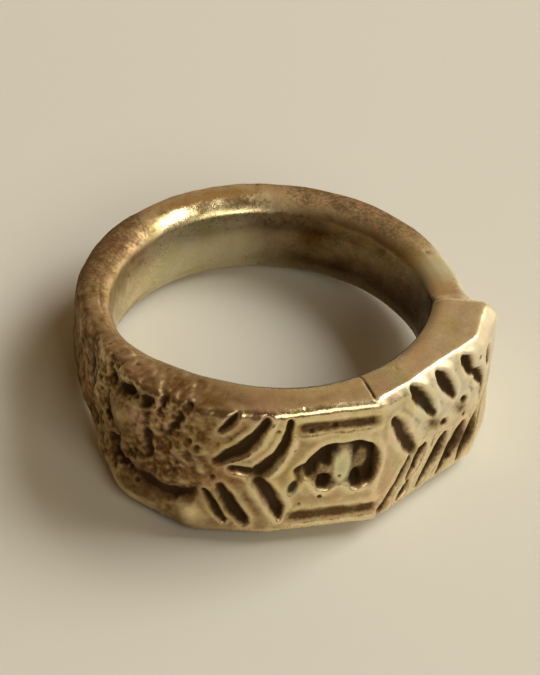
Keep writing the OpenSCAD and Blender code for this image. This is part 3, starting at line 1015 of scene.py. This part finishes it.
def averaged(values, ends, rounds):
    """Values mixed with their neighbours' mean so many times."""
    count = len(values)
    first = np.concatenate([ends[:, 0], ends[:, 1]])
    second = np.concatenate([ends[:, 1], ends[:, 0]])
    neighbours = np.bincount(first, minlength=count)
    for _ in range(rounds):
        sums = np.stack([np.bincount(first, column[second], count) for column in values.T], axis=-1)
        values = (values + sums / neighbours[:, None]) / 2
    return values


ends = np.empty(len(finished.edges) * 2, np.int64)
finished.edges.foreach_get("vertices", ends)
ends = ends.reshape(-1, 2)
points = read_points(finished) / MM
normals = np.empty(len(finished.vertices) * 3, np.float32)
finished.vertex_normals.foreach_get("vector", normals)
normals = normals.reshape(-1, 3)
near_copy = averaged(points, ends, NEAR_ROUNDS)
far_copy = averaged(near_copy, ends, FAR_ROUNDS)
fine_relief = ((points - near_copy) * normals).sum(axis=1)
broad_relief = ((points - far_copy) * normals).sum(axis=1)
print("relief in mm:", round(broad_relief.min(), 3), "to", round(broad_relief.max(), 3))

# %% Masks for the hollows and the worn edges, with painted highlights on the edges
# Dirt creeps up the flanks of every cut, so far and so strongly
DIRT_ROUNDS = 3
DIRT_STRENGTH = 0.40
# The shoulder and the left of the shank are less rubbed than the rest, at distances along the band
RUBBED_AT = [(-36, 1), (-31, 1), (-24, 0.3), (-7, 0.3), (-2, 1)]
place_along = read_points(finished, "along")
sunk = read_points(finished, "sunk")
pits = read_points(finished, "pit")
hollow = rises(sunk, 0.06, 0.30) ** 1.4 * 0.9
hollow += rises(-broad_relief, 0, 0.09) * 0.65 + rises(pits, 0, 0.10) * 0.3
hollow += rises(-fine_relief, 0, 0.03) * 0.3
hollow = np.maximum(hollow, DIRT_STRENGTH * averaged(rises(sunk, 0, 0.10)[:, None], ends, DIRT_ROUNDS)[:, 0])
rubbed = from_table(RUBBED_AT, place_along)
# Worn edges: rubbed metal, and also the painted highlights on ridges
worn_and_highlight = rises(broad_relief, 0, 0.05) * 0.8 * rubbed
worn_and_highlight += rises(fine_relief, 0, 0.02) * (0.2 + 0.25 * rubbed)
print("mean of the hollows:", round(hollow.mean(), 3), "mean of the wear:", round(worn_and_highlight.mean(), 3))

# %% [markdown]
# Not all wear follows the shape. How a ring was worn, washed and lain on for years shows as broad changes
# along the band and as single patches, so these come from tables of distance and value, and from ovals in
# the wall's map, as the lumps did. Some of them paint light and shade rather than wear: painted shade in
# the finger hole, a lighter back of the bore, a painted reflection behind the wing, and painted highlights
# on the wing and on the lip at the foot.

# %% Tables and ovals of the wear and of the painted light and shade
# The height of the top face in the wall's map
TOP_FACE = 3.95
# How brown the band is, how far its bore is darkened by painted shade, where the back of the bore is painted
# lighter and olive, how pale it is (rubbed, with painted highlights), and how weathered it is
AGED_AT = [
    (-36, 0.9), (-26, 1.1), (-21, 0.95), (-15, 0.85), (-8, 1.0), (-5, 0.85), (-2.5, 0.55), (3, 0.35),
    (7, 0.12), (16, 0.10), (22, 0.55), (36, 0.9),
]
BORE_SHADE_AT = [(-36, 0.4), (-31, 0.2), (-26, 0), (-17, 0.2), (-9, 0.9), (0, 1), (31, 1), (34, 0.8), (36, 0.4)]
BORE_OLIVE_AND_LIGHT_AT = [(-36, 1), (-31, 1), (-27, 0), (32, 0), (35, 1)]
PALE_AND_SHEEN_AT = [(0, 0), (5, 0.55), (8, 1), (19, 1), (23, 0)]
WEATHERED_AT = [
    (-36, 0.28), (-31, 0.28), (-29, 0.46), (-24, 0.48), (-19, 0.30), (-15, 0.16), (-6, 0),
    (15, 0), (17, 0.05), (22, 0.34), (26, 0.40), (32, 0.40), (34.5, 0.28), (36, 0.28),
]
# Where the bronze has a faint cast
GREEN = [
    (1.3, 0.0, 0.8, 1.7, 0), (-1.6, -1.3, 0.5, 0.6, 0), (4.9, TOP_FACE, 1.0, 0.5, 0),
    (6.8, 1.8, 0.8, 0.9, 0), (20.4, 2.2, 1.6, 1.2, 0),
]
PINK = [
    (4.2, TOP_FACE, 0.8, 0.5, 0), (-3.2, TOP_FACE, 1.3, 0.5, 0), (-2.6, -1.8, 0.7, 1.0, 30),
    (5.2, 1.2, 0.5, 0.8, 0), (-9.2, -2.2, 1.3, 0.6, 0), (-10.8, 1.9, 0.6, 0.8, 0),
]
# Where the shoulder's hollows are made darker, and where the wing is a little grey
DARKENED_HOLLOWS = [
    (-12.0, 2.9, 1.2, 0.45, 20), (-13.3, 2.6, 0.45, 0.45, 0), (-13.6, 0.1, 0.45, 0.5, 0),
    (-12.6, -1.7, 0.9, 0.6, 35), (-9.5, -2.2, 2.2, 0.75, 3), (-7.6, -1.9, 0.8, 0.4, 40),
]
GREYED = [
    (7.8, 0.1, 1.0, 0.5, -45), (9.9, 0.0, 0.9, 0.5, -45),
    (12.0, 0.2, 1.0, 0.6, -45), (10.5, -2.6, 2.6, 0.9, 0),
]
# Where it is rubbed bright again: the lip at the shoulder's foot, the pale patch, and the rim at the back.
# The lip also carries a painted highlight
POLISHED_AND_HIGHLIT = [(-11.2, -3.8, 3.2, 0.5, -4), (-7.0, -3.1, 1.5, 0.9, 0)]
BACK_RIM = [(-34.2, 2.1, 3.9, 1.1, 0), (outline_length - 34.2, 2.1, 3.9, 1.1, 0)]
# The painted reflection behind the wing, a pale and clean patch, and the brownest patches
BEHIND_WING_REFLECTION = [(20.4, 2.2, 1.9, 1.3, 0)]
BROWN_PATCHES = [
    (-12.1, 1.1, 1.8, 1.5, 0), (-8.0, -1.6, 2.0, 1.0, 0), (-28.0, 2.2, 2.3, 1.4, 0),
    (25.2, 1.8, 2.4, 1.0, 0), (31.2, 2.4, 2.3, 1.4, 0),
]
print("brown and dirty patches:", len(BROWN_PATCHES) + len(DARKENED_HOLLOWS))

# %% [markdown]
# Now the masks are put together, one for each thing that the material asks. They are softened once, so that
# no single point stands out. A mask may fall a little below 0: noise is added to it in the material, and so
# it can't bring dirt back to a polished place.

# %% Put the masks together
TINT_STRENGTH = 0.6
TINT_FADE = 1.5
LOWEST = -0.4
place_up = read_points(finished, "height")
place_out = from_hole.ravel()
place_in_hole = read_points(finished, "in_hole")
on_wall = read_points(finished, "wall_share")


def tint_at(ovals):
    """How strong a tint is at every point."""
    reaches = [oval_reach(place_along, place_up, oval) for oval in ovals]
    return TINT_STRENGTH * np.max([np.exp(-TINT_FADE * reach ** 2) for reach in reaches], axis=0)


outer_side = rises(place_out, 1.2, 0.8) * rises(np.abs(place_along), 18, 4)
towards_hole = falls(place_out, 2.1, 0.8)
top_face = rises(place_up, 3.3, 0.5) * (1 - on_wall)
# The back of the finger hole is painted lighter and a little olive: painted light where it showed dark
back_bore_olive_and_light = place_in_hole * from_table(BORE_OLIVE_AND_LIGHT_AT, place_along)
# Painted reflection behind the wing: paler, cleaner and less brown
behind_wing_reflection = tint_at(BEHIND_WING_REFLECTION) / TINT_STRENGTH
polished = np.maximum(tint_at(POLISHED_AND_HIGHLIT), tint_at(BACK_RIM) * towards_hole) / TINT_STRENGTH

hollow += from_table(WEATHERED_AT, place_along) + 0.06 * outer_side
hollow *= np.clip(0.1 + place_out / 1.0, 0, 1)
# The shoulder's hollows are made darker
hollow += 1.5 * tint_at(DARKENED_HOLLOWS)
hollow += 0.8 * tint_at(GREYED)
hollow -= 0.9 * tint_at(BACK_RIM) * towards_hole + 0.4 * behind_wing_reflection

aged = np.maximum(from_table(AGED_AT, place_along), 0.22 * (1 - on_wall)) * (1 - 0.75 * polished)
aged = aged * (1 - 0.5 * place_in_hole) + 0.8 * tint_at(BROWN_PATCHES)
aged = aged + 0.35 * outer_side * (1 - polished) - 0.8 * behind_wing_reflection

# Pale is rubbed metal over the wing, with painted highlights: lighter towards the top of the wing and on the
# top faces, and painted light at the back of the bore, behind the wing and on the lip at the foot
pale_and_sheen = from_table(PALE_AND_SHEEN_AT, place_along) * np.clip(on_wall + 0.2, 0, 1)
pale_and_sheen = pale_and_sheen * np.clip(0.45 + (place_up + 0.6) / 2.4, 0.35, 1) + 0.9 * behind_wing_reflection
pale_and_sheen = pale_and_sheen + 0.3 * top_face + 0.5 * back_bore_olive_and_light + 0.8 * tint_at(POLISHED_AND_HIGHLIT[:1])

masks = {
    "green": tint_at(GREEN) + 0.25 * back_bore_olive_and_light,
    "pink": tint_at(PINK),
    "hollow": hollow,
    "worn_and_highlight": worn_and_highlight,
    # Painted shade in the finger hole
    "inside": place_in_hole * from_table(BORE_SHADE_AT, place_along),
    "aged": aged,
    "pale_and_sheen": pale_and_sheen,
}
for name, values in masks.items():
    add_attribute(finished, name, np.clip(averaged(values[:, None], ends, 1)[:, 0], LOWEST, 1))
print("masks:", ", ".join(masks))

# %% [markdown]
# The ring is laid down: one matrix puts it where the record's finger hole is, and it goes into the mesh,
# so that the object itself stays at the origin. The skin may stand a hair below the surface at the three
# feet, and there it is rubbed flat.

# %% Lay the ring down and hand it to the frame
finished.transform(laid_down)
resting = read_points(finished)
below = resting[:, 2] < 0
resting[below, 2] = 0
finished.vertices.foreach_set("co", resting.astype(np.float32).ravel())
finished.shade_smooth()
finished.update()
for name in ("along", "height", "wall_share", "facing", "sunk", "pit", "rough", "in_hole"):
    finished.attributes.remove(finished.attributes[name])
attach(ring, "root")
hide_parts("ring")
print("points rubbed flat on the surface:", int(below.sum()))

# %% [markdown]
# The stage is a plain pale surface in soft light. The main light is a broad window to the right and a
# little behind, which is why the top edges and the wing shine and the shadow falls to the left. A low one
# beside it, like light off a window sill, makes it broader. A weaker one in front puts the gleam on the
# rim at the back. The room round them is dim and warm, and a little brighter behind the ring.

# %% Floor
def floor_material():
    """Pale plaster, slightly uneven."""
    material = bpy.data.materials.new("pale_surface")
    material.use_nodes = True
    tree = material.node_tree
    shader = tree.nodes["Principled BSDF"]
    place = out(add(tree, "ShaderNodeTexCoord"), "Object")
    tone = colour_mix(tree, noise(tree, place, 30.0), (0.715, 0.715, 0.635, 1), (0.74, 0.74, 0.657, 1))
    tree.links.new(tone, shader.inputs["Base Color"])
    shader.inputs["Roughness"].default_value = 0.8
    return material


FLOOR_HALF = 1.5
floor_mesh = bpy.data.meshes.new("floor")
corners = [(-1, -1), (1, -1), (1, 1), (-1, 1)]
floor_mesh.from_pydata([(x * FLOOR_HALF, y * FLOOR_HALF, 0) for x, y in corners], [], [(0, 1, 2, 3)])
floor_mesh.materials.append(floor_material())
floor = bpy.data.objects.new("floor", floor_mesh)
bpy.context.scene.collection.objects.link(floor)
print("floor made")

# %% Lights and world
# Name, azimuth, elevation, distance, width and height, power, colour
LIGHTS = [
    ("window", 99, 46, 0.8, (0.54, 0.43), 5.0, (1.0, 0.965, 0.90)),
    ("sill", 97, 20, 0.8, (0.73, 0.29), 1.10, (1.0, 0.95, 0.86)),
    ("gleam", 16, 38, 0.8, (0.44, 0.36), 1.70, (1.0, 0.94, 0.79)),
]
BRIGHTER_SIDE = (0.3, 0.95, 0.0)
ROOM_IN_FRONT = (0.080, 0.042, 0.015, 1)
ROOM_BEHIND = (0.32, 0.205, 0.095, 1)


def soft_light(name, azimuth, elevation, distance, size, power, colour):
    """A wide and high light that looks at the ring, from an azimuth measured from the front towards +X."""
    turn, lift = math.radians(azimuth), math.radians(elevation)
    direction = Vector((math.sin(turn) * math.cos(lift), -math.cos(turn) * math.cos(lift), math.sin(lift)))
    light = bpy.data.lights.new(name, "AREA")
    light.shape = "RECTANGLE"
    light.size, light.size_y = size
    light.energy = power
    light.color = colour
    lamp = bpy.data.objects.new(name, light)
    lamp.location = hole_middle + direction * distance
    lamp.rotation_mode = "QUATERNION"
    lamp.rotation_quaternion = direction.to_track_quat("Z", "Y")
    bpy.context.scene.collection.objects.link(lamp)


for light_row in LIGHTS:
    soft_light(*light_row)
world = bpy.data.worlds.new("pale_room")
world.use_nodes = True
sky = world.node_tree
direction = out(add(sky, "ShaderNodeTexCoord"), "Generated")
behind = add(sky, "ShaderNodeVectorMath", {0: direction, 1: BRIGHTER_SIDE}, operation="DOT_PRODUCT")
room = colour_mix(sky, ramp(sky, out(behind, "Value"), -0.3, 0.8), ROOM_IN_FRONT, ROOM_BEHIND)
sky.links.new(room, sky.nodes["Background"].inputs["Color"])
bpy.context.scene.world = world
bpy.context.scene.view_settings.view_transform = "Standard"
print("lights:", len(LIGHTS))

# %% [markdown]
# The camera's angles are measured to the ring itself, not to the floor: it looks down on the ring's own
# plane, from a little left of the front. So it is placed round the upright ring and then laid down with it.
# A long lens from some distance keeps the two sides of the small ring nearly parallel.

# %% Camera at the photograph's viewing angle
CAMERA_AZIMUTH = math.radians(-16.5)
CAMERA_ELEVATION = math.radians(39.5)
CAMERA_ROLL = math.radians(4.0)
CAMERA_DISTANCE = 0.375
CAMERA_LENS = 360
AIM_HEIGHT = 0.2 * MM
back = Vector((
    math.sin(CAMERA_AZIMUTH) * math.cos(CAMERA_ELEVATION),
    -math.cos(CAMERA_AZIMUTH) * math.cos(CAMERA_ELEVATION),
    math.sin(CAMERA_ELEVATION),
))
level_right = Vector((math.cos(CAMERA_AZIMUTH), math.sin(CAMERA_AZIMUTH), 0))
level_up = back.cross(level_right)
right = math.cos(CAMERA_ROLL) * level_right + math.sin(CAMERA_ROLL) * level_up
up = back.cross(right)
aim = Vector((0, 0, AIM_HEIGHT))
seen_from = Matrix((right, up, back)).transposed().to_4x4()
seen_from.translation = aim + back * CAMERA_DISTANCE
camera_data = bpy.data.cameras.new("camera")
camera_data.lens = CAMERA_LENS
camera_data.clip_start = 0.02
camera = bpy.data.objects.new("camera", camera_data)
camera.matrix_world = laid_down @ seen_from
bpy.context.scene.collection.objects.link(camera)
bpy.context.scene.camera = camera
print("camera above the floor in mm:", round(camera.matrix_world.translation.z / MM, 1))

# %% Count the triangles and finish
bpy.context.view_layer.update()
triangles = sum(len(face.vertices) - 2 for face in ring.data.polygons)
print("triangles:", triangles)
